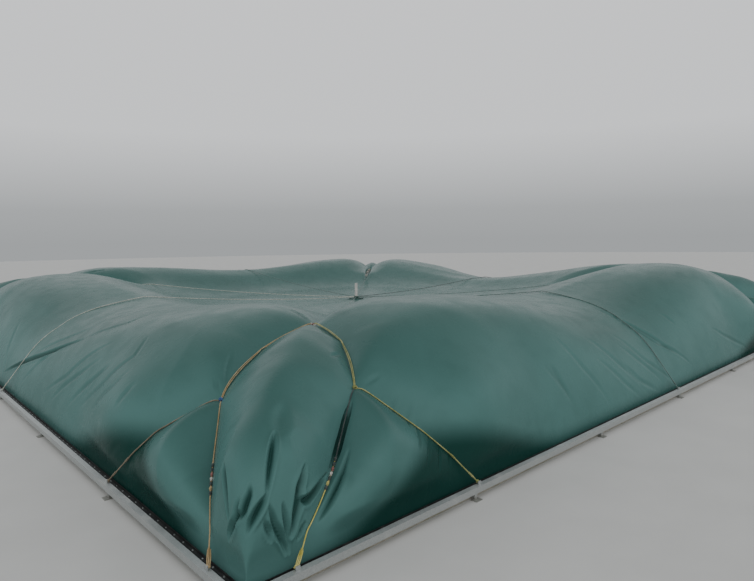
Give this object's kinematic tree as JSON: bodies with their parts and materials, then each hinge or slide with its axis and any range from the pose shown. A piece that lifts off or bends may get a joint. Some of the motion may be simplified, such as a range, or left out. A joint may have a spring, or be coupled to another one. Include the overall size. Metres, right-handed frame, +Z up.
{
  "type": "covered slurry tank",
  "caption": "Square in-ground slurry store head with a gas-inflated membrane cover, held down by ropes tied to a galvanised edge rail.",
  "frame": {"origin": "centre of the square at ground level, under the rail's foot plates and the kerb", "axes": "+X along the front side, +Y from the front side to the back side, +Z up"},
  "size_m": [27.12, 27.12, 3.3278],
  "materials": {
    "cover": "coated membrane, satin, dark green",
    "galvanised": "hot-dip galvanised, dull",
    "concrete": "weathered cast concrete",
    "skirt": "matt black sheet",
    "rope": "laid synthetic rope, faded yellow green",
    "pipe": "weathered pale pipe"
  },
  "bodies": {
    "root": {"kerb_front": "concrete", "skirt_front": "skirt", "clamp_angle_front": "galvanised", "edge_rail_front": "galvanised", "cover_front_1": "cover", "cover_front_2": "cover", "corner_rope_front_1": "rope", "corner_rope_front_2": "rope", "middle_rope_front": "rope", "kerb_right": "concrete", "skirt_right": "skirt", "clamp_angle_right": "galvanised", "edge_rail_right": "galvanised", "cover_right_1": "cover", "cover_right_2": "cover", "corner_rope_right_1": "rope", "corner_rope_right_2": "rope", "middle_rope_right": "rope", "kerb_back": "concrete", "skirt_back": "skirt", "clamp_angle_back": "galvanised", "edge_rail_back": "galvanised", "cover_back_1": "cover", "cover_back_2": "cover", "corner_rope_back_1": "rope", "corner_rope_back_2": "rope", "middle_rope_back": "rope", "kerb_left": "concrete", "skirt_left": "skirt", "clamp_angle_left": "galvanised", "edge_rail_left": "galvanised", "cover_left_1": "cover", "cover_left_2": "cover", "corner_rope_left_1": "rope", "corner_rope_left_2": "rope", "middle_rope_left": "rope", "cover_corner_front_left": "cover", "diagonal_rope_front_left": "rope", "cover_corner_front_right": "cover", "diagonal_rope_front_right": "rope", "cover_corner_back_right": "cover", "diagonal_rope_back_right": "rope", "cover_corner_back_left": "cover", "diagonal_rope_back_left": "rope", "centre_pipe": "pipe", "centre_collar": "skirt"}
  },
  "joints": []
}
